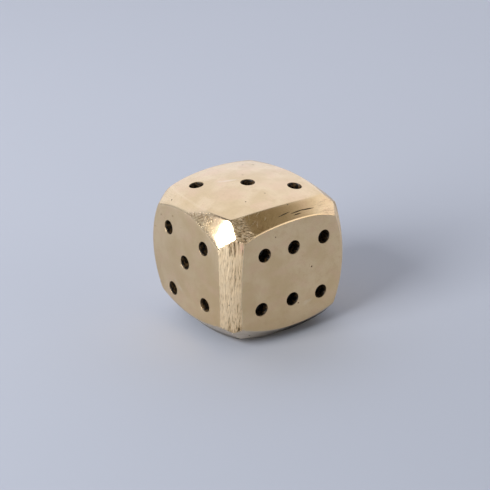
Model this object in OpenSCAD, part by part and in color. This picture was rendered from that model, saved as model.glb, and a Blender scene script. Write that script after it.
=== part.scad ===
// A brass die: a cube with slightly domed faces and hand-filed, barrel-shaped chamfers.
// Each spot is a drilled blind hole with a lining of black enamel.
// It stands on its four. The six faces -Y, the five -X and the three is on top.

/* [Block] */
// Width from the five to the two
width = 40.7; // [38:0.1:44]
// Depth from the six to the one
depth = 39.5; // [38:0.1:44]
// Height from the four to the three, before the flat patch is rubbed
height = 39.9; // [38:0.1:44]
// Dome radius of the five and of the two
dome_x = 180; // [120:10:400]
// Dome radius of the six and of the one
dome_y = 215; // [120:10:400]
// Dome radius of the three and of the four
dome_z = 88; // [80:1:400]
// Radius of the flat patch that the die stands on
land_r = 9; // [5:0.5:10]

/* [Drilled spots] */
// Diameter of the drill
drill_d = 3.9; // [3:0.1:4.5]
// Depth of each hole, from the face to the shoulder of the drill's point
drill_depth = 3.2; // [2:0.1:4]
// Angle of the drill's point
drill_angle = 118; // [90:1:140]

/* [Enamel] */
// Thickness of the enamel on the wall of a hole
lining = 0.2; // [0.1:0.05:0.4]
// Thickness of the enamel at the bottom of a hole
pool = 0.5; // [0.2:0.1:1]
// How far below the face the enamel stops
bare_rim = 0.5; // [0.4:0.05:0.8]

/* [Hidden] */
half_x = width / 2;
half_y = depth / 2;
half_z = height / 2;
round_fn = 360;
hole_fn = 64;
beyond = 100; // longer than the block, for solids that only trim it
over = 2; // a hole's cutter starts this far outside the face

// How far the flat patch is cut back from the top of its dome
land_cut = dome_z - sqrt(dome_z * dome_z - land_r * land_r);

// One row for each filed chamfer:
// [turn, two half sizes, cut, lean, belly radius, place of the belly's middle]
// An unturned chamfer lies along Y between the top and +X. cut is measured in from the sharp
// edge, lean is the angle from the first face's normal, and the belly is high in its middle.
chamfers = [
    // Round the top
    [[0, 0, 180], half_z, half_x, 2.8, 57, 46, -2.5], // front part of the edge by the five
    [[0, 0, 180], half_z, half_x, 3.3, 47, 50, 0.3], // rear part of the edge by the five
    [[0, 0, -90], half_z, half_y, 3.85, 42, 72, 1.3], // most of the edge by the six
    [[0, 0, -90], half_z, half_y, 3.3, 46, 48, 0.5], // both ends of the edge by the six
    [[0, 0, 0], half_z, half_x, 4.3, 40, 56, -3],
    [[0, 0, 90], half_z, half_y, 3.7, 45, 54, 0.5],
    // Upright
    [[90, 0, -90], half_x, half_y, 3.8, 44, 99, -1.7], // between the five and the six
    [[90, 0, 0], half_y, half_x, 2.3, 48, 46, -0.3], // between the six and the two
    [[90, 0, 90], half_x, half_y, 3.4, 46, 58, 1], // between the two and the one
    [[90, 0, 180], half_y, half_x, 2.8, 37, 30, 2], // between the one and the five
    // Round the bottom
    [[180, 0, 180], half_z, half_x, 4.6, 44, 53, -1.7],
    [[180, 0, -90], half_z, half_y, 3.1, 47, 55, -1.3],
    [[180, 0, 0], half_z, half_x, 3.9, 45, 55, 1],
    [[180, 0, 90], half_z, half_y, 4.1, 46, 60, 1.5]
];

// Turn from the top face to each face, by its number of spots. After it, a face's own X and Y
// run across the face.
face_turn = [
    [0, 0, 0],
    [90, 0, 180], // one, +Y
    [90, 0, 90], // two, +X
    [0, 0, 0], // three, +Z
    [180, 0, 0], // four, -Z
    [90, 0, -90], // five, -X
    [90, 0, 0] // six, -Y
];
face_half = [0, half_y, half_x, half_z, half_z, half_x, half_y];
face_dome = [1, dome_y, dome_x, dome_z, dome_z, dome_x, dome_y];

// Where each spot was drilled, a little off its ruled place, in its face's own X and Y
spots = [
    [],
    [[0.4, -0.3]],
    [[-8.6, 8.1], [8.2, -8.4]],
    [[-11.1, 7.8], [-0.3, -0.8], [9.7, -8.4]],
    [[-8.4, 8.2], [8.5, 7.9], [-8.1, -8.6], [8.8, -8.2]],
    [[-8.3, 8.6], [7.9, 8.5], [-0.3, 1.3], [-6.6, -9], [8.3, -8]],
    [[-8.3, 7.7], [1.2, 7.5], [11.4, 7.6], [-9.3, -8], [0.8, -7.8], [10.5, -8.5]]
];

function enamel_name(face, i) = str("enamel_", face, "_", i);

// Height of a face's surface at a point of it
function face_height(face, at) =
    face_half[face] - face_dome[face] + sqrt(pow(face_dome[face], 2) - at[0] * at[0] - at[1] * at[1]);

// Keeps what lies under one domed face
module domed_face(face) {
    rotate(face_turn[face])
        translate([0, 0, face_half[face] - face_dome[face]])
            sphere(r = face_dome[face], $fn = round_fn);
}

// Keeps what lies under one filed chamfer
module filed_chamfer(turn, half_a, half_b, cut, lean, belly, middle) {
    reach = half_a * cos(lean) + half_b * sin(lean) - cut;
    rotate(turn)
        rotate([0, lean, 0])
            translate([0, middle, reach - belly])
                rotate([0, 90, 0])
                    cylinder(r = belly, h = beyond, center = true, $fn = round_fn);
}

// Puts a solid on a spot's axis, with its origin on the face's surface
module at_spot(face, i) {
    at = spots[face][i - 1];
    rotate(face_turn[face])
        translate([at[0], at[1], face_height(face, at)])
            children();
}

// The drill's shape: a straight side and a pointed end
module drill(r, top, shoulder) {
    tip = r / tan(drill_angle / 2);
    rotate_extrude($fn = hole_fn)
        polygon([[0, top], [r, top], [r, -shoulder], [0, -shoulder - tip]]);
}

// The block with its domes, chamfers and flat patch, before it is drilled
module blank() {
    intersection() {
        translate([0, 0, land_cut])
            cube([width, depth, height], center = true);
        intersection_for(face = [1:6]) domed_face(face);
        intersection_for(c = chamfers) filed_chamfer(c[0], c[1], c[2], c[3], c[4], c[5], c[6]);
    }
}

// Puts a solid that is centred on the block onto the ground
module standing() {
    translate([0, 0, half_z - land_cut])
        children();
}

// The solid brass block with its 21 drilled holes
module body() {
    color("#c8a874")
        standing()
            difference() {
                blank();
                for (face = [1:6])
                    for (i = [1:face])
                        at_spot(face, i) drill(drill_d / 2, over, drill_depth);
            }
}

// The black enamel in one hole: a thin lining on the wall and a thicker bottom
module enamel(face, i) {
    color("#1c1814")
        standing()
            at_spot(face, i)
                difference() {
                    drill(drill_d / 2, -bare_rim, drill_depth);
                    drill(drill_d / 2 - lining, over, drill_depth - pool);
                }
}

body();
for (face = [1:6])
    for (i = [1:face])
        enamel(face, i);
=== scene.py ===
"""Looks of a solid brass die: hand-filed chamfers, satin faces and 21 drilled, enamelled spots."""

import math
from collections import namedtuple
from types import SimpleNamespace

import bmesh
import bpy
import numpy as np
from mathutils import Matrix, Vector


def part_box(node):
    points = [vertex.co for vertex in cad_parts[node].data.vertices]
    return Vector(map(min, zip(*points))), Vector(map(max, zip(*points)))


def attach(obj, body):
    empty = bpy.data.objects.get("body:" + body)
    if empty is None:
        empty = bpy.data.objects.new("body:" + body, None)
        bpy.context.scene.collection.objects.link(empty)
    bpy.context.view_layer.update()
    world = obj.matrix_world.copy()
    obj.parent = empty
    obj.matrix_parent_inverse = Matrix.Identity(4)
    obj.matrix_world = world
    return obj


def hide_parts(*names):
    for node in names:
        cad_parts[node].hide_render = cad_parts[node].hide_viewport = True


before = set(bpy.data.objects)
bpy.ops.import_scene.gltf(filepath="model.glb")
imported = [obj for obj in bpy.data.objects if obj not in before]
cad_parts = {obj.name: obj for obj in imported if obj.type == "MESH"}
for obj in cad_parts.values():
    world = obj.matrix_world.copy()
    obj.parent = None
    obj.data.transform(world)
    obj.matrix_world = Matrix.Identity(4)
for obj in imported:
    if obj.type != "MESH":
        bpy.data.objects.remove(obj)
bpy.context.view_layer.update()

MM = 0.001  # the die is worked out in millimetres and turned into metres when a mesh is made

# ---------------------------------------------------------------- the die's shape, as the CAD has it

UP, DOWN = np.array([0, 0, 1.0]), np.array([0, 0, -1.0])
LEFT, RIGHT = np.array([-1.0, 0, 0]), np.array([1.0, 0, 0])
FRONT, BACK = np.array([0, -1.0, 0]), np.array([0, 1.0, 0])
FACE_NORMAL = {1: BACK, 2: RIGHT, 3: UP, 4: DOWN, 5: LEFT, 6: FRONT}

BLANK_HEIGHT = 39.9  # before the flat patch was rubbed under the four
DOME = {1: 215, 2: 180, 3: 88, 4: 88, 5: 180, 6: 215}
SOFT_EDGE = 0.13  # how far the edges are broken
LAND_TOP = 0.02  # points lower than this are on the flat patch, which stays flat
HALVINGS = 26  # steps in the search for where a ray leaves the block

body_high = np.array(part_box("body")[1]) / MM
HALF = np.array([body_high[0], body_high[1], BLANK_HEIGHT / 2])
CENTRE = np.array([0, 0, body_high[2] - HALF[2]])

# A chamfer lies between two faces and is high in its middle. cut is measured in from the sharp
# edge, lean is the angle from the first face's normal, belly is the radius of its long curve, and
# middle is along first x second. These four repeat part.scad's rows. Where the photo shows the
# chamfer they are the rounded result of a fit to it.
# FINISHES name the kinds of finish; the last two are painted looks, a grey reflection and shade
# near the table. A chamfer says how strongly each shows on it: a number, or a Zone where it
# covers only part of the length, full at one place and gone at another.
FINISHES = ("coarse", "hatch", "chatter", "polish", "worn", "grime")
Zone = namedtuple("Zone", "strength full_at gone_at")
Chamfer = namedtuple(
    "Chamfer", ("first", "second", "cut", "lean", "belly", "middle", *FINISHES), defaults=(0, 0, 0)
)
CHAMFERS = [
    Chamfer(UP, LEFT, 2.8, 57, 46, -2.5, 0.05, Zone(1.0, 6, 12.5), 0, 1),
    Chamfer(UP, LEFT, 3.3, 47, 50, 0.3, 0.05, 0, 0),
    Chamfer(UP, FRONT, 3.85, 42, 72, 1.3, 0.04, Zone(0.5, -8, 0), Zone(1.0, -12.4, -10.6)),
    Chamfer(UP, FRONT, 3.3, 46, 48, 0.5, 0.15, 0, Zone(1.0, -12.4, -10.6)),
    Chamfer(UP, RIGHT, 4.3, 40, 56, -3, 0.2, 0, Zone(0.6, 9, 6)),
    Chamfer(UP, BACK, 3.7, 45, 54, 0.5, 0.5, Zone(0.6, 2, -4), 0),
    Chamfer(LEFT, FRONT, 3.8, 44, 99, -1.7, 1.0, 0, 0),
    Chamfer(FRONT, RIGHT, 2.3, 48, 46, -0.3, 0.7, 0, 0),
    Chamfer(RIGHT, BACK, 3.4, 46, 58, 1, 1.0, 0, 0),
    Chamfer(BACK, LEFT, 2.8, 37, 30, 2, 0.6, Zone(0.7, -3, 2), 0),
    # In the bottom rows the fifth finish is a painted grey reflection and the sixth painted shade
    # near the table
    Chamfer(DOWN, LEFT, 4.6, 44, 53, -1.7, 0.2, 0, 0, 0, 1, 0.6),
    Chamfer(DOWN, FRONT, 3.1, 47, 55, -1.3, 0.1, 0, 0, 0.8, 1, Zone(1.0, -4, 13)),
    Chamfer(DOWN, RIGHT, 3.9, 45, 55, 1, 0.4, Zone(0.6, -4, 1), 0, 0, 1, 0.7),
    Chamfer(DOWN, BACK, 4.1, 46, 60, 1.5, 0.5, 0, 0, 0, 1, 0.7),
]

Facet = namedtuple("Facet", "centre radius axis along across chamfer")


def chamfer_facet(chamfer):
    """A chamfer's surface: a cylinder whose axis runs across the chamfer."""
    lean = math.radians(chamfer.lean)
    normal = math.cos(lean) * chamfer.first + math.sin(lean) * chamfer.second
    along = np.cross(chamfer.first, chamfer.second)
    across = np.cross(normal, along)
    reach = math.cos(lean) * (np.abs(chamfer.first) @ HALF)
    reach += math.sin(lean) * (np.abs(chamfer.second) @ HALF) - chamfer.cut
    centre = CENTRE + normal * (reach - chamfer.belly) + along * chamfer.middle
    return Facet(centre, chamfer.belly, across, along, across, chamfer)


def dome_facet(face):
    """A face's surface: part of a big sphere."""
    normal = FACE_NORMAL[face]
    along = np.roll(np.abs(normal), 1)
    centre = CENTRE + normal * (np.abs(normal) @ HALF - DOME[face])
    return Facet(centre, DOME[face], np.zeros(3), along, np.cross(normal, along), None)


FACETS = [dome_facet(face) for face in range(1, 7)] + [chamfer_facet(c) for c in CHAMFERS]


def facet_distances(points):
    """How far each point is outside each facet, and each facet's outward direction there."""
    distances = []
    outward = []
    for facet in FACETS:
        offset = points - facet.centre
        offset = offset - np.outer(offset @ facet.axis, facet.axis)
        length = np.linalg.norm(offset, axis=1)
        distances.append(length - facet.radius)
        outward.append(offset / length[:, None])
    distances.append(-points[:, 2])  # the flat patch under the four
    outward.append(np.tile(DOWN, (len(points), 1)))
    return np.array(distances), np.array(outward)


def height_above_block(points):
    """Signed distance to the block with softly broken edges, and the normal there."""
    distances, outward = facet_distances(points)
    highest = distances.max(0)
    weight = np.exp((distances - highest) / SOFT_EDGE)
    total = weight.sum(0)
    normal = np.einsum("fp,fpk->pk", weight / total, outward)
    normal /= np.linalg.norm(normal, axis=1)[:, None]
    return highest + SOFT_EDGE * np.log(total), normal


def hit_block(origins, directions, near, far):
    """Where rays that start inside the block leave it."""
    near = np.full(len(directions), float(near))
    far = np.full(len(directions), float(far))
    for _ in range(HALVINGS):
        middle = (near + far) / 2
        inside = height_above_block(origins + middle[:, None] * directions)[0] < 0
        near = np.where(inside, middle, near)
        far = np.where(inside, far, middle)
    return origins + near[:, None] * directions


# ---------------------------------------------------------------- noise and file strokes


LATTICE = 32  # the noise repeats after so many lumps


def smooth_noise(points, size, seed):
    """Smooth noise between -1 and 1 whose lumps are about size across."""
    rng = np.random.default_rng(seed)
    lattice = rng.uniform(-1, 1, (LATTICE,) * 3)
    cell = points / size
    low = np.floor(cell).astype(int)
    part = cell - low
    part = part * part * (3 - 2 * part)
    value = np.zeros(len(points))
    for corner in np.ndindex(2, 2, 2):
        index = (low + corner) % LATTICE
        share = np.prod(np.where(corner, part, 1 - part), axis=1)
        value += share * lattice[index[:, 0], index[:, 1], index[:, 2]]
    return value


def strength_along(mark, along):
    """How strongly a kind of file mark shows at places along its chamfer."""
    if not isinstance(mark, Zone):
        return np.full(len(along), float(mark))
    share = np.clip((along - mark.gone_at) / (mark.full_at - mark.gone_at), 0, 1)
    return mark.strength * share * share * (3 - 2 * share)


def stroke_depth(along, across, strokes):
    """Depth of a set of file strokes. A stroke is (along, across, length, width, depth, slant)."""
    depth = np.zeros(len(along))
    for at_along, at_across, length, width, deep, slant in strokes:
        run = (along - at_along) / (length / 2)
        off = (across - at_across - slant * (along - at_along)) / (width / 2)
        near = (np.abs(run) < 1) & (np.abs(off) < 3)
        shape = np.exp(-off[near] ** 2) * (1 - run[near] ** 2) ** 0.5
        depth[near] = np.maximum(depth[near], deep * shape)
    return depth


def file_strokes(seed, count, width, depth, length, slant):
    """Strokes that run along a chamfer, scattered over it."""
    rng = np.random.default_rng(seed)
    return [
        (
            rng.uniform(-20, 20),
            rng.uniform(-4.5, 4.5),
            rng.uniform(0.5, 1.6) * length,
            rng.uniform(0.6, 1.5) * width,
            rng.uniform(0.3, 1.0) * depth,
            rng.normal(0, slant),
        )
        for _ in range(count)
    ]


# ---------------------------------------------------------------- meshes


def mesh_object(name, vertices, faces, body="root"):
    """A smooth-shaded object from millimetre vertices, riding on a body of the frame."""
    mesh = bpy.data.meshes.new(name)
    mesh.from_pydata((np.asarray(vertices) * MM).tolist(), [], [list(f) for f in faces])
    mesh.validate()
    mesh.polygons.foreach_set("use_smooth", [True] * len(mesh.polygons))
    thing = bpy.data.objects.new(name, mesh)
    bpy.context.scene.collection.objects.link(thing)
    if body:
        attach(thing, body)
    return thing


def sharpen_creases(thing, angle):
    """Marks the edges that turn by more than an angle as sharp."""
    work = bmesh.new()
    work.from_mesh(thing.data)
    for edge in work.edges:
        edge.smooth = len(edge.link_faces) != 2 or edge.calc_face_angle() < math.radians(angle)
    work.to_mesh(thing.data)
    work.free()


def grid_lines():
    """Places of grid lines from -1 to 1: close together over the chamfers, wider between them."""
    fine = np.linspace(0.72, 1, 33)
    wide = np.linspace(-0.72, 0.72, 50)
    return np.concatenate([-fine[::-1], wide[1:-1], fine])


def cube_grid():
    """Points all over a cube of half size 1, and its squares, with shared edges."""
    lines = grid_lines()
    count = len(lines)
    first, second = np.meshgrid(lines, lines, indexing="ij")
    points = []
    squares = []
    index = np.arange(count * count).reshape(count, count)
    corners = [index[:-1, :-1], index[1:, :-1], index[1:, 1:], index[:-1, 1:]]
    quads = np.stack([c.ravel() for c in corners], 1)
    for number, normal in enumerate(FACE_NORMAL.values()):
        side = np.roll(np.abs(normal), 1)
        other = np.cross(normal, side)
        sheet = normal + first.reshape(-1, 1) * side + second.reshape(-1, 1) * other
        points.append(sheet)
        squares.append(quads + number * count * count)
    points = np.concatenate(points)
    unique, where = np.unique(np.round(points, 7), axis=0, return_inverse=True)
    return unique, where.reshape(-1)[np.concatenate(squares)]


def block_surface(points):
    """Adds the hand of the maker to points on the block: slow waves, and file strokes."""
    distances = facet_distances(points)[0][: len(FACETS)]
    normal = height_above_block(points)[1]
    facet_number = distances.argmax(0)
    shift = 0.012 * smooth_noise(points + 50, 7.0, 3)
    for number, facet in enumerate(FACETS):
        chamfer = facet.chamfer
        if chamfer is None:
            continue
        here = facet_number == number
        offset = points[here] - CENTRE
        along = offset @ facet.along
        across = offset @ facet.across
        across = across - across.mean()
        gouges = file_strokes(number, 150, 0.6, 0.06 * chamfer.coarse, 8, 0.03)
        shift[here] -= stroke_depth(along, across, gouges)
        shift[here] += 0.02 * chamfer.coarse * smooth_noise(points[here] + 90, 3.1, number + 40)
    shift[points[:, 2] < LAND_TOP] = 0
    return points + normal * shift[:, None]


# ---------------------------------------------------------------- the drilled spots

Spot = namedtuple("Spot", "name normal side other at radius")


def find_spots():
    """Each drilled spot, found from the box of its enamel."""
    spots = []
    for name in sorted(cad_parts):
        if not name.startswith("enamel_"):
            continue
        normal = FACE_NORMAL[int(name.split("_")[1])]
        low, high = (np.array(corner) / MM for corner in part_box(name))
        side = np.roll(np.abs(normal), 1)
        middle = (low + high) / 2
        inner = middle - normal * (middle @ normal) + normal * (CENTRE @ normal)
        at = hit_block(inner[None], normal[None], 5, 30)[0]
        spots.append(
            Spot(name, normal, side, np.cross(normal, side), at, (high - low) @ side / 2)
        )
    return spots


DRILL_RADIUS = 1.95
DRILL_ANGLE = 118  # of its point, in degrees
DRILL_DEPTH = 3.2  # to the shoulder of its point
DRILL_TIP = DRILL_RADIUS / math.tan(math.radians(DRILL_ANGLE / 2))
RING = 64  # vertices round a hole


def ring_angles():
    return np.arange(RING) * (2 * math.pi / RING)


def surface_drop(spot, radii):
    """How high the face is above a spot's centre, all round it at some radius."""
    angles = ring_angles()
    across = np.outer(np.cos(angles), spot.side) + np.outer(np.sin(angles), spot.other)
    rays = spot.at - 6 * spot.normal + across * np.reshape(radii, (-1, 1))
    hits = hit_block(rays, np.tile(spot.normal, (RING, 1)), 0, 12)
    return (hits - spot.at) @ spot.normal


def lathe(spot, rings, first_z, last_z):
    """Vertices and faces of a closed turned solid. A ring is (radii, heights), outside first."""
    angles = ring_angles()
    circle = np.outer(np.cos(angles), spot.side) + np.outer(np.sin(angles), spot.other)
    vertices = [spot.at + first_z * spot.normal]
    for radii, heights in rings:
        radii = np.broadcast_to(radii, RING)[:, None]
        heights = np.broadcast_to(heights, RING)[:, None]
        vertices.extend(spot.at + circle * radii + heights * spot.normal)
    vertices.append(spot.at + last_z * spot.normal)
    faces = []
    last = len(vertices) - 1
    for i in range(RING):
        j = (i + 1) % RING
        faces.append((0, 1 + i, 1 + j))
        for row in range(len(rings) - 1):
            start = 1 + row * RING
            faces.append((start + i, start + RING + i, start + RING + j, start + j))
        start = 1 + (len(rings) - 1) * RING
        faces.append((start + j, start + i, last))
    return vertices, faces


def drill_cutter(spot):
    """The solid that a drill takes out, with a small burr rubbed off round its mouth."""
    drop = surface_drop(spot, spot.radius)
    lip = [(0.10, 0.6), (0.06, 0.0), (0.02, -0.03), (0, -0.07), (0, -0.4)]
    rings = [(spot.radius + wider, drop + height) for wider, height in lip]
    rings.append((spot.radius, -1.5))
    rings.append((spot.radius, -DRILL_DEPTH))
    rings.append((spot.radius * 0.5, -DRILL_DEPTH - DRILL_TIP * 0.5))
    return lathe(spot, rings, 0.8, -DRILL_DEPTH - DRILL_TIP)


def make_body(spots):
    """The brass block: a fine grid on its facets, with the spots cut out of it."""
    grid, squares = cube_grid()
    directions = grid / np.linalg.norm(grid, axis=1)[:, None]
    origins = np.tile(CENTRE, (len(grid), 1))
    points = block_surface(hit_block(origins, directions, 10, 40))
    blank = mesh_object("brass_body", points, squares)
    vertices = []
    faces = []
    for spot in spots:
        more, sides = drill_cutter(spot)
        faces.extend([[i + len(vertices) for i in side] for side in sides])
        vertices.extend(more)
    cutter = mesh_object("drill_cutter", vertices, faces, body=None)
    for thing in (blank, cutter):
        face_outward(thing)
    cut = blank.modifiers.new("drill", "BOOLEAN")
    cut.object = cutter
    cut.operation = "DIFFERENCE"
    cut.solver = "EXACT"
    bpy.context.view_layer.update()
    seen = blank.evaluated_get(bpy.context.evaluated_depsgraph_get())
    drilled = bpy.data.meshes.new_from_object(seen)
    blank.modifiers.clear()
    blank.data = drilled
    bpy.data.objects.remove(cutter)
    sharpen_creases(blank, 32)
    write_finish(blank.data, spots)
    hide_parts("body")
    return blank


def face_outward(thing):
    """Turns every face of a closed mesh to point outward."""
    work = bmesh.new()
    work.from_mesh(thing.data)
    bmesh.ops.recalc_face_normals(work, faces=work.faces)
    work.to_mesh(thing.data)
    work.free()


# The grain's third coordinate is this times the facet's number, so that no two facets share noise
GRAIN_STEP = 11.0
# Patches where the brass of a chamfer has gone pink, as (place, size)
PINK_PATCHES = [((-14.9, -19.4, 30.9), 1.5), ((15, 18, 31), 2.2), ((18, -15, 6), 2)]


def write_finish(mesh, spots):
    """Stores, at each vertex, what its material needs: grain, finishes, bores, pink and edges."""
    count = len(mesh.vertices)
    points = np.empty(count * 3)
    mesh.vertices.foreach_get("co", points)
    points = points.reshape(-1, 3) / MM
    distances = facet_distances(points)[0][: len(FACETS)]
    ranked = np.sort(distances, axis=0)
    facet_number = distances.argmax(0)
    grain = np.zeros((count, 3))
    values = {name: np.zeros(count) for name in (*FINISHES, "ends", "bore", "pink")}
    for number, facet in enumerate(FACETS):
        here = facet_number == number
        offset = points[here] - CENTRE
        across = offset @ facet.across
        along = offset @ facet.along
        grain[here] = np.stack([across, along, np.full(len(along), GRAIN_STEP * number)], 1)
        if facet.chamfer:
            for mark in FINISHES:
                values[mark][here] = strength_along(getattr(facet.chamfer, mark), along)
            values["ends"][here] = np.clip((np.abs(along) - 8) / 5, 0, 1)
    for spot in spots:
        offset = points - spot.at
        out = np.linalg.norm(offset - np.outer(offset @ spot.normal, spot.normal), axis=1)
        values["bore"][(out < spot.radius + 0.03) & (np.abs(offset @ spot.normal) < 5)] = 1
    for place, size in PINK_PATCHES:
        near = np.exp(-((np.linalg.norm(points - place, axis=1) / size) ** 2))
        values["pink"] = np.maximum(values["pink"], near * (facet_number >= len(FACE_NORMAL)))
    values["edge"] = np.exp((ranked[-2] - ranked[-1]) / 0.16)
    for name, value in values.items():
        mesh.attributes.new(name, "FLOAT", "POINT").data.foreach_set("value", value)
    turned = np.stack([grain[:, 0] + grain[:, 1], grain[:, 0] - grain[:, 1], grain[:, 2]], 1)
    for name, vector in (("grain", grain), ("turned_grain", turned)):
        data = mesh.attributes.new(name, "FLOAT_VECTOR", "POINT").data
        data.foreach_set("vector", vector.ravel())


def make_enamel(spot, seed):
    """The enamel in one spot: brushed up the wall to an uneven line, and pooled at the bottom."""
    angles = ring_angles()
    circle = np.stack([np.cos(angles), np.sin(angles), np.full(RING, seed * 1.7)], 1)
    uneven = smooth_noise(circle * 2 + 40, 1.0, 71) + 0.5 * smooth_noise(circle * 6 + 40, 1.0, 72)
    drop = surface_drop(spot, spot.radius)
    top = drop - 0.2 - 0.12 * uneven
    wall = spot.radius - 0.015
    floor_z = -DRILL_DEPTH + 0.15
    rings = [
        (wall * 0.5, -DRILL_DEPTH - DRILL_TIP * 0.5 + 0.02),
        (wall, -DRILL_DEPTH + 0.01),
        (wall, -1.6),
        (wall, top),
        (wall - 0.03, top - 0.01),
        (wall - 0.07, top - 0.08),
        (wall - 0.11, top - 0.25),
        (wall - 0.15 - 0.02 * uneven, -1.2 + 0.1 * uneven),
        (wall - 0.18 + 0.02 * uneven, -2.0),
        (wall - 0.2, floor_z + 0.2),
        (wall - 0.28, floor_z),
        (wall - 0.45, floor_z - 0.14),
        (wall * 0.55, floor_z - 0.3 + 0.03 * uneven),
        (wall * 0.25, floor_z - 0.42),
    ]
    vertices, faces = lathe(spot, rings, -DRILL_DEPTH - DRILL_TIP + 0.03, floor_z - 0.47)
    piece = mesh_object("paint_" + spot.name.removeprefix("enamel_"), vertices, faces)
    face_outward(piece)
    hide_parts(spot.name)
    return piece


# ---------------------------------------------------------------- materials


class Nodes:
    """Short calls for building a material's node tree."""

    def __init__(self, name):
        self.material = bpy.data.materials.new(name)
        self.material.use_nodes = True
        self.tree = self.material.node_tree
        self.shader = next(n for n in self.tree.nodes if n.type == "BSDF_PRINCIPLED")

    def add(self, kind, settings=None, **inputs):
        node = self.tree.nodes.new(kind)
        for key, value in (settings or {}).items():
            setattr(node, key, value)
        for key, value in inputs.items():
            self.feed(node.inputs[key.replace("_", " ")], value)
        return node

    def feed(self, socket, value):
        if isinstance(value, bpy.types.NodeSocket):
            self.tree.links.new(value, socket)
        else:
            socket.default_value = value

    def attribute(self, name, output="Fac"):
        return self.add("ShaderNodeAttribute", {"attribute_name": name}).outputs[output]

    def math(self, operation, first, second=0.0, clamp=False):
        node = self.add("ShaderNodeMath", {"operation": operation, "use_clamp": clamp})
        self.feed(node.inputs[0], first)
        self.feed(node.inputs[1], second)
        return node.outputs[0]

    def product(self, first, second):
        return self.math("MULTIPLY", first, second)

    def highest(self, *values):
        total = values[0]
        for value in values[1:]:
            total = self.math("MAXIMUM", total, value)
        return total

    def noise(self, vector, scale, detail=2.0, rough=0.5):
        node = self.add("ShaderNodeTexNoise", Vector=vector, Scale=scale, Detail=detail)
        node.inputs["Roughness"].default_value = rough
        return node.outputs["Fac"]

    def stretch(self, vector, factors):
        node = self.add("ShaderNodeVectorMath", {"operation": "MULTIPLY"})
        self.feed(node.inputs[0], vector)
        node.inputs[1].default_value = factors
        return node.outputs[0]

    def between(self, value, low, high, to_low=0.0, to_high=1.0):
        node = self.add("ShaderNodeMapRange", {"interpolation_type": "SMOOTHSTEP"}, Value=value)
        ends = {"From Min": low, "From Max": high, "To Min": to_low, "To Max": to_high}
        for key, number in ends.items():
            node.inputs[key].default_value = number
        return node.outputs["Result"]

    def mix_colour(self, share, first, second):
        node = self.add("ShaderNodeMix", {"data_type": "RGBA"})
        self.feed(node.inputs["Factor"], share)
        self.feed(node.inputs[6], first)
        self.feed(node.inputs[7], second)
        return node.outputs[2]

    def bump(self, height, distance, below=None):
        node = self.add("ShaderNodeBump", Height=height, Distance=distance, Strength=1.0)
        if below is not None:
            self.feed(node.inputs["Normal"], below)
        return node.outputs["Normal"]

    def near_line(self, vector, start, end, width):
        """1 on the line between two points, falling to 0 at width away from it."""
        start, end = Vector(start), Vector(end)
        from_start = self.add("ShaderNodeVectorMath", {"operation": "SUBTRACT"})
        self.feed(from_start.inputs[0], vector)
        from_start.inputs[1].default_value = start
        along = self.add("ShaderNodeVectorMath", {"operation": "DOT_PRODUCT"})
        self.feed(along.inputs[0], from_start.outputs[0])
        along.inputs[1].default_value = (end - start) / (end - start).length_squared
        share = self.math("ADD", along.outputs["Value"], 0.0, clamp=True)
        nearest = self.add("ShaderNodeVectorMath", {"operation": "SCALE"})
        nearest.inputs[0].default_value = end - start
        self.feed(nearest.inputs["Scale"], share)
        gap = self.add("ShaderNodeVectorMath", {"operation": "DISTANCE"})
        self.feed(gap.inputs[0], from_start.outputs[0])
        self.feed(gap.inputs[1], nearest.outputs[0])
        taper = self.math("SINE", self.math("MULTIPLY", share, math.pi))
        reach = self.math("MULTIPLY", self.math("ADD", taper, 0.25), width)
        off = self.math("DIVIDE", gap.outputs["Value"], reach)
        return self.math("SUBTRACT", 1.0, off, clamp=True)

    def lines(self, vector, segments, width):
        """near_line for several lines at once."""
        return self.highest(*(self.near_line(vector, *ends, width) for ends in segments))

    def finish(self, **inputs):
        for key, value in inputs.items():
            self.feed(self.shader.inputs[key.replace("_", " ")], value)
        return self.material


def colour(red, green, blue):
    return (red, green, blue, 1.0)


# Dark scratches on the chamfer over the six, in its grain: (across, along, SCRATCHED) from and to
SCRATCHED = GRAIN_STEP * 8
SCRATCHES = [
    ((-1.95, -2.6, SCRATCHED), (-1.5, 1.4, SCRATCHED)),
    ((-2.15, 1.3, SCRATCHED), (-1.95, 5.8, SCRATCHED)),
    ((-2.0, 4.6, SCRATCHED), (-2.3, 9.2, SCRATCHED)),
    ((-2.75, 2.0, SCRATCHED), (-2.75, 4.6, SCRATCHED)),
]
# Fine bright ones, most of them left of those
BRIGHT_SCRATCHES = [
    ((-0.2, -10.6, SCRATCHED), (1.4, -9.9, SCRATCHED)),
    ((-1.9, -11.3, SCRATCHED), (-0.9, -8.9, SCRATCHED)),
    ((-2.8, -9.4, SCRATCHED), (-1.2, -8.7, SCRATCHED)),
    ((0.3, -8.3, SCRATCHED), (1.0, -6.9, SCRATCHED)),
    ((-1.6, -6.6, SCRATCHED), (-0.8, -5.8, SCRATCHED)),
    ((1.2, -3.2, SCRATCHED), (1.5, 1.0, SCRATCHED)),
]
# Faint scuffs on the faces, in millimetres from the object's origin
SCUFFS = [
    ((-20.2, -9.6, 32.5), (-20.2, -11.5, 27.5)),
    ((-20.2, -8.2, 32.0), (-20.2, -10.8, 26.0)),
    ((-20.2, 6.0, 14.0), (-20.2, 1.5, 11.0)),
    ((2.0, -19.7, 8.5), (9.0, -19.7, 10.0)),
    ((20.2, -6.0, 24.0), (20.2, 3.0, 29.0)),
    ((20.2, 4.0, 9.0), (20.2, 8.5, 17.0)),
    ((-8.0, 19.6, 27.0), (1.0, 19.6, 31.0)),
    ((5.0, 19.6, 10.0), (10.0, 19.6, 13.0)),
    ((-7.0, 5.0, 39.2), (-1.0, 2.0, 39.3)),
]


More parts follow.
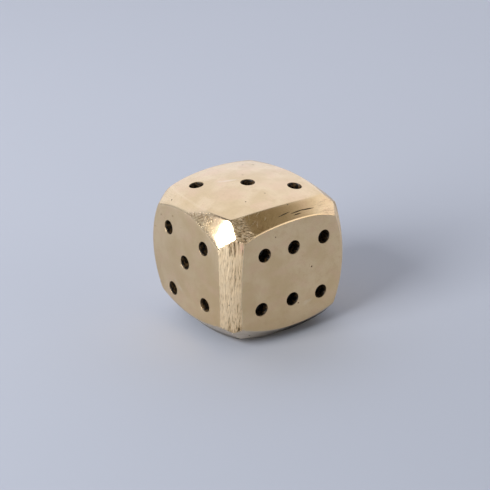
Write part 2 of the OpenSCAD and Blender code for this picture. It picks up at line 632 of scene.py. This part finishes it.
def brass_marks(n):
    """Everything that the brass's colour, roughness and bump are made from, by name."""
    m = SimpleNamespace(
        **{name: n.attribute(name) for name in (*FINISHES, "ends", "bore", "pink", "edge")}
    )
    m.grain = n.attribute("grain", "Vector")
    turned = n.attribute("turned_grain", "Vector")
    m.place = n.stretch(n.add("ShaderNodeTexCoord").outputs["Object"], (1 / MM,) * 3)
    m.across = n.add("ShaderNodeSeparateXYZ", Vector=m.grain).outputs["X"]
    m.height = n.add("ShaderNodeSeparateXYZ", Vector=m.place).outputs["Z"]
    m.smudges = n.noise(m.place, 0.45, 4.0, 0.6)

    # File marks: lines along a chamfer, crossed ones where it was filed twice, and short ones
    # askew where the file jumped
    m.lines = n.noise(n.stretch(m.grain, (3.0, 0.26, 1.0)), 1.0, 3.0, 0.65)
    m.fine_lines = n.noise(n.stretch(m.grain, (5.0, 0.5, 1.0)), 1.0, 2.0)
    m.one_way = n.noise(n.stretch(turned, (1.9, 0.3, 1.0)), 1.0, 3.0, 0.6)
    m.other_way = n.noise(n.stretch(turned, (0.3, 1.9, 1.0)), 1.0, 3.0, 0.6)
    askew = n.add("ShaderNodeVectorRotate", {"rotation_type": "Z_AXIS"}, Vector=m.grain, Angle=-0.36)
    m.jumps = n.noise(n.stretch(askew.outputs[0], (3.5, 0.95, 1.0)), 1.0, 2.0, 0.6)

    m.scratches = n.lines(m.grain, SCRATCHES, 0.17)
    m.bright_scratches = n.lines(m.grain, BRIGHT_SCRATCHES, 0.13)
    m.scuffs = n.product(n.lines(m.place, SCUFFS, 0.7), n.between(m.smudges, 0.35, 0.6))
    pit_cells = n.add(
        "ShaderNodeTexVoronoi", {"feature": "F1"}, Vector=m.place, Scale=0.23, Randomness=1.0
    )
    m.pits = n.between(pit_cells.outputs["Distance"], 0.035, 0.080, 1.0, 0.0)
    return m


def brass_bumps(n, m):
    """The normal over fine sanding and the file marks."""
    sanding = n.noise(n.stretch(m.grain, (9.0, 1.2, 1.0)), 1.0, 3.0, 0.6)
    crossed = n.math("SUBTRACT", n.math("ADD", m.one_way, m.other_way), 1.0)
    normal = n.bump(sanding, 0.005 * MM)
    for marks, strength, depth in (
        (n.math("SUBTRACT", m.lines, 0.5), m.coarse, 0.17),
        (n.math("SUBTRACT", m.fine_lines, 0.5), m.coarse, 0.04),
        (crossed, m.hatch, 0.05),
        (n.math("SUBTRACT", m.jumps, 0.5), m.chatter, 0.26),
    ):
        normal = n.bump(n.product(marks, strength), depth * MM, below=normal)
    return normal


def brass_dirt_and_shade(n, m):
    """Thin dirt in the marks, dirt in the deepest ones, in pits and bores, and painted shade low
    down near the table.
    """
    # Marks are dirtier towards the ends of a chamfer, in patches, and on one side of it
    patches = n.noise(n.stretch(m.grain, (0.55, 0.12, 1.0)), 1.0, 2.0)
    deeper = n.product(m.ends, 0.10)
    deeper = n.math("ADD", deeper, n.between(patches, 0.35, 0.62, -0.06, 0.06))
    deeper = n.math("SUBTRACT", deeper, n.between(m.across, 0.3, 1.7, 0.0, 0.12))
    deepness = n.math("SUBTRACT", m.lines, deeper)
    both_ways = n.math("MINIMUM", m.one_way, m.other_way)
    thin_dirt = n.highest(
        n.product(n.between(deepness, 0.34, 0.46, 1.0, 0.0), n.product(m.coarse, 0.85)),
        n.product(n.between(m.fine_lines, 0.35, 0.55, 0.45, 0.0), m.coarse),
        n.product(n.between(both_ways, 0.37, 0.48, 1.0, 0.0), m.hatch),
        n.product(n.between(m.jumps, 0.44, 0.52, 0.9, 0.0), m.chatter),
    )

    # Painted shade near the table, and a painted contact shadow as a dark line along the bottom
    # edges. The dirt below carries both too
    low = n.between(n.math("ADD", m.height, m.smudges), 2.7, 5.2, 1.0, 0.0)
    shadow_line = n.product(n.between(m.edge, 0.03, 0.30), n.between(m.height, 2.2, 3.2, 1.0, 0.0))
    grime = n.highest(n.product(m.grime, low), shadow_line)
    dirt_and_shade = n.highest(
        n.product(n.between(m.jumps, 0.39, 0.47, 0.9, 0.0), m.chatter),
        n.product(n.between(deepness, 0.29, 0.38, 1.0, 0.0), m.coarse),
        n.between(m.scratches, 0.0, 0.4),
        n.product(m.pits, 0.9),
        n.product(m.bore, n.between(m.smudges, 0.35, 0.6, 0.72, 1.0)),
        grime,
    )
    return thin_dirt, dirt_and_shade, grime


def brass_colour(n, m, thin_dirt, dirt_and_shade, grime):
    """Mottled brass, fresher where it was filed coarsely, with scuffs, dirt, painted shade, painted
    highlights and a painted grey reflection on top.
    """
    blotches = n.noise(m.place, 0.13, 3.0)
    hue = n.noise(n.stretch(m.place, (0.2, 0.2, 0.3)), 1.0, 2.0)
    specks = n.noise(m.place, 2.2, 3.0, 0.65)
    # Painted shade: one side of each coarse chamfer darker, and the faces darker towards the bottom
    painted_shade = n.product(n.between(m.across, -5.0, 1.5, 0.6, 0.0), m.coarse)
    painted_shade = n.highest(painted_shade, n.between(m.height, 2.5, 10.0, 0.5, 0.0))
    bright = n.highest(
        n.product(m.scuffs, 0.35),
        n.product(m.bright_scratches, 0.6),
        # On the chatter, the light tops are a painted glint
        n.product(n.between(m.jumps, 0.53, 0.62, 0.0, 0.45), m.chatter),
    )
    tone = n.mix_colour(
        n.between(blotches, 0.35, 0.65), colour(0.765, 0.56, 0.305), colour(0.855, 0.645, 0.38)
    )
    for share, layer in (
        (n.between(m.smudges, 0.50, 0.72, 0, 0.45), (0.72, 0.51, 0.275)),
        (n.between(hue, 0.45, 0.70, 0, 0.5), (0.84, 0.58, 0.36)),
        (n.between(specks, 0.52, 0.70, 0, 0.4), (0.66, 0.46, 0.24)),
        (n.math("MULTIPLY", m.coarse, 0.9, clamp=True), (1.0, 0.81, 0.54)),
        # painted shade
        (painted_shade, (0.72, 0.53, 0.31)),
        (n.product(m.pink, n.between(m.lines, 0.40, 0.60, 0.3, 1.0)), (0.80, 0.44, 0.34)),
        (bright, (1.0, 0.90, 0.72)),
        # Lighter along every edge: partly bright rubbed metal, partly a painted highlight
        (n.product(m.edge, 0.30), (0.98, 0.80, 0.53)),
        (thin_dirt, (0.46, 0.30, 0.14)),
        # Grey on the bottom chamfers: a painted reflection of the grey floor
        (n.product(m.worn, 0.5), (0.63, 0.60, 0.55)),
        # Dirt, which also carries the painted shade near the table
        (dirt_and_shade, (0.065, 0.043, 0.02)),
        # Near black: painted contact shadow where the die meets the table
        (grime, (0.012, 0.010, 0.008)),
    ):
        tone = n.mix_colour(share, tone, colour(*layer))
    return tone


def brass_roughness(n, m, dirt_and_shade):
    """Smooth where it is polished and at its edges, rougher where it is marked, dirty or painted
    with shade.
    """
    rough = n.between(m.smudges, 0.3, 0.7, 0.19, 0.25)
    rough = n.math("SUBTRACT", rough, n.product(m.polish, 0.12))
    for mark, rougher in (
        (m.coarse, 0.36), (m.chatter, 0.22), (m.bright_scratches, 0.2), (dirt_and_shade, 0.2)
    ):
        rough = n.math("ADD", rough, n.product(mark, rougher))
    return n.math("SUBTRACT", rough, n.product(m.edge, 0.04), clamp=True)


def brass_material():
    """Old brass: smooth faces with faint smudges, marks on the chamfers, pits, dirt, and painted
    shade, highlights and reflection.
    """
    n = Nodes("hand_worked_brass")
    m = brass_marks(n)
    thin_dirt, dirt_and_shade, grime = brass_dirt_and_shade(n, m)
    return n.finish(
        Base_Color=brass_colour(n, m, thin_dirt, dirt_and_shade, grime),
        Roughness=brass_roughness(n, m, dirt_and_shade),
        Metallic=n.math("SUBTRACT", 1.0, dirt_and_shade, clamp=True),
        Specular_IOR_Level=0.1,
        Normal=brass_bumps(n, m),
    )


def enamel_material():
    """Brushed-in black enamel: brown where it is thin, glossy in places, with dust in it."""
    n = Nodes("black_enamel")
    place = n.stretch(n.add("ShaderNodeTexCoord").outputs["Object"], (1 / MM,) * 3)
    lumps = n.noise(place, 1.1, 3.0)
    dust = n.noise(place, 4.0, 3.0)
    tone = n.mix_colour(
        n.between(lumps, 0.45, 0.68), colour(0.008, 0.006, 0.004), colour(0.11, 0.064, 0.026)
    )
    tone = n.mix_colour(n.between(dust, 0.60, 0.72, 0, 0.5), tone, colour(0.14, 0.12, 0.09))
    rough = n.between(dust, 0.3, 0.7, 0.12, 0.40)
    normal = n.bump(lumps, 0.20 * MM)
    normal = n.bump(dust, 0.06 * MM, below=normal)
    return n.finish(Base_Color=tone, Roughness=rough, Normal=normal)


def floor_material():
    """Pale blue-grey backdrop paper, painted darker towards the front as a falloff of light."""
    n = Nodes("backdrop_paper")
    place = n.add("ShaderNodeTexCoord").outputs["Object"]
    cloud = n.noise(place, 3.0, 2.0)
    parts = n.add("ShaderNodeSeparateXYZ", Vector=place).outputs
    # Painted light falloff: darker towards the front and left, lighter behind
    behind = n.math("ADD", parts["Y"], n.math("MULTIPLY", parts["X"], 0.4))
    tone = n.mix_colour(
        n.between(behind, -0.25, 0.25), colour(0.410, 0.434, 0.480), colour(0.605, 0.634, 0.695)
    )
    tone = n.mix_colour(n.between(cloud, 0.3, 0.7, 0, 0.15), tone, colour(0.50, 0.53, 0.59))
    normal = n.bump(n.noise(place, 900.0, 3.0), 0.02 * MM)
    return n.finish(Base_Color=tone, Roughness=0.75, Normal=normal)


# ---------------------------------------------------------------- studio

# The camera's direction from the die and how far away it stands, fitted to the photograph
CAMERA_AZIMUTH = math.radians(-35.7)
CAMERA_ELEVATION = math.radians(26.0)
CAMERA_ROLL = math.radians(-0.26)
CAMERA_DISTANCE = 0.6304
CAMERA_LENS = 170.2  # millimetres, on a sensor 36 mm wide
LOOKED_AT = Vector((0.54, -0.23, 19.44)) * MM
RIGHT_OF_MIDDLE, BELOW_MIDDLE = 1.144 * MM, 0.703 * MM  # where that point lies in the picture


def make_camera():
    back = Vector(
        (
            math.sin(CAMERA_AZIMUTH) * math.cos(CAMERA_ELEVATION),
            -math.cos(CAMERA_AZIMUTH) * math.cos(CAMERA_ELEVATION),
            math.sin(CAMERA_ELEVATION),
        )
    )
    right = Vector((0, 0, 1)).cross(back).normalized()
    up = back.cross(right)
    turned_right = right * math.cos(CAMERA_ROLL) + up * math.sin(CAMERA_ROLL)
    turned_up = up * math.cos(CAMERA_ROLL) - right * math.sin(CAMERA_ROLL)
    place = LOOKED_AT + back * CAMERA_DISTANCE
    place += turned_up * BELOW_MIDDLE - turned_right * RIGHT_OF_MIDDLE
    data = bpy.data.cameras.new("camera")
    data.lens = CAMERA_LENS
    data.sensor_width = 36
    data.clip_start = 0.01
    camera = bpy.data.objects.new("camera", data)
    turn = Matrix((turned_right, turned_up, back)).transposed().to_4x4()
    camera.matrix_world = Matrix.Translation(place) @ turn
    bpy.context.scene.collection.objects.link(camera)
    bpy.context.scene.camera = camera


def make_floor():
    """A wide flat sheet of backdrop paper."""
    count = 41
    lines = np.linspace(-1, 1, count) ** 3 * 1800 + np.linspace(-1, 1, count) * 200
    x, y = np.meshgrid(lines, lines, indexing="ij")
    vertices = np.stack([x.ravel(), y.ravel(), np.zeros(x.size)], 1)
    index = np.arange(count * count).reshape(count, count)
    corners = [index[:-1, :-1], index[1:, :-1], index[1:, 1:], index[:-1, 1:]]
    faces = np.stack([c.ravel() for c in corners], 1)
    floor = mesh_object("backdrop", vertices, faces, body=None)
    floor.data.materials.append(floor_material())


def soft_light(name, direction, distance, width, height, power, tint):
    """An area light that faces the die."""
    data = bpy.data.lights.new(name, "AREA")
    data.shape = "RECTANGLE"
    data.size = width
    data.size_y = height
    data.energy = power
    data.color = tint
    light = bpy.data.objects.new(name, data)
    way = Vector(direction).normalized()
    light.location = LOOKED_AT + way * distance
    light.rotation_euler = way.to_track_quat("Z", "Y").to_euler()
    light.visible_camera = False
    bpy.context.scene.collection.objects.link(light)


# What surrounds the die, as (direction, inner angle, outer angle, colour); later ones lie on top
AMBIENT = (0.165, 0.175, 0.19)
SURROUNDINGS = [
    ((-0.80, 0.55, 0.20), 20, 45, (0.50, 0.54, 0.64)),
    ((-0.86, 0.20, 0.47), 5, 15, (0.98, 1.03, 1.20)),
    ((-0.34, 0.76, 0.55), 14, 24, (0.95, 1.01, 1.21)),
    ((0.34, 0.84, 0.42), 37, 49, (0.96, 1.02, 1.22)),
    ((0.35, -0.40, 0.85), 20, 45, (0.235, 0.205, 0.15)),
    ((0.94, 0.0, 0.34), 5, 44, (1.06, 1.05, 1.12)),
    ((0.60, -0.77, 0.15), 14, 30, (1.3, 1.25, 1.25)),
]


def make_world():
    """Soft studio surroundings: bright low down all round, dim overhead."""
    world = bpy.data.worlds.new("studio")
    world.use_nodes = True
    tree = world.node_tree
    background = tree.nodes["Background"]
    way = tree.nodes.new("ShaderNodeTexCoord").outputs["Generated"]

    def patch(direction, inner, outer):
        """1 within inner degrees of a direction, falling to 0 at outer degrees."""
        dot = tree.nodes.new("ShaderNodeVectorMath")
        dot.operation = "DOT_PRODUCT"
        dot.inputs[1].default_value = Vector(direction).normalized()
        tree.links.new(way, dot.inputs[0])
        ramp = tree.nodes.new("ShaderNodeMapRange")
        ramp.interpolation_type = "SMOOTHSTEP"
        ramp.inputs["From Min"].default_value = math.cos(math.radians(outer))
        ramp.inputs["From Max"].default_value = math.cos(math.radians(inner))
        tree.links.new(dot.outputs["Value"], ramp.inputs["Value"])
        return ramp.outputs["Result"]

    shade = None
    for direction, inner, outer, tint in SURROUNDINGS:
        mix = tree.nodes.new("ShaderNodeMix")
        mix.data_type = "RGBA"
        mix.inputs[7].default_value = colour(*tint)
        if shade is None:
            mix.inputs[6].default_value = colour(*AMBIENT)
        else:
            tree.links.new(shade, mix.inputs[6])
        tree.links.new(patch(direction, inner, outer), mix.inputs["Factor"])
        shade = mix.outputs[2]
    tree.links.new(shade, background.inputs["Color"])
    background.inputs["Strength"].default_value = 1.0
    bpy.context.scene.world = world


def make_studio():
    make_world()
    soft_light("window", (-0.85, -0.085, 0.51), 0.9, 0.47, 0.50, 7.5, (1.0, 1.01, 1.06))
    make_floor()
    make_camera()
    bpy.context.scene.view_settings.view_transform = "Standard"


# ---------------------------------------------------------------- assembly

spots = find_spots()
body = make_body(spots)
body.data.materials.clear()
body.data.materials.append(brass_material())
enamel = enamel_material()
for number, spot in enumerate(spots):
    make_enamel(spot, number).data.materials.append(enamel)
make_studio()
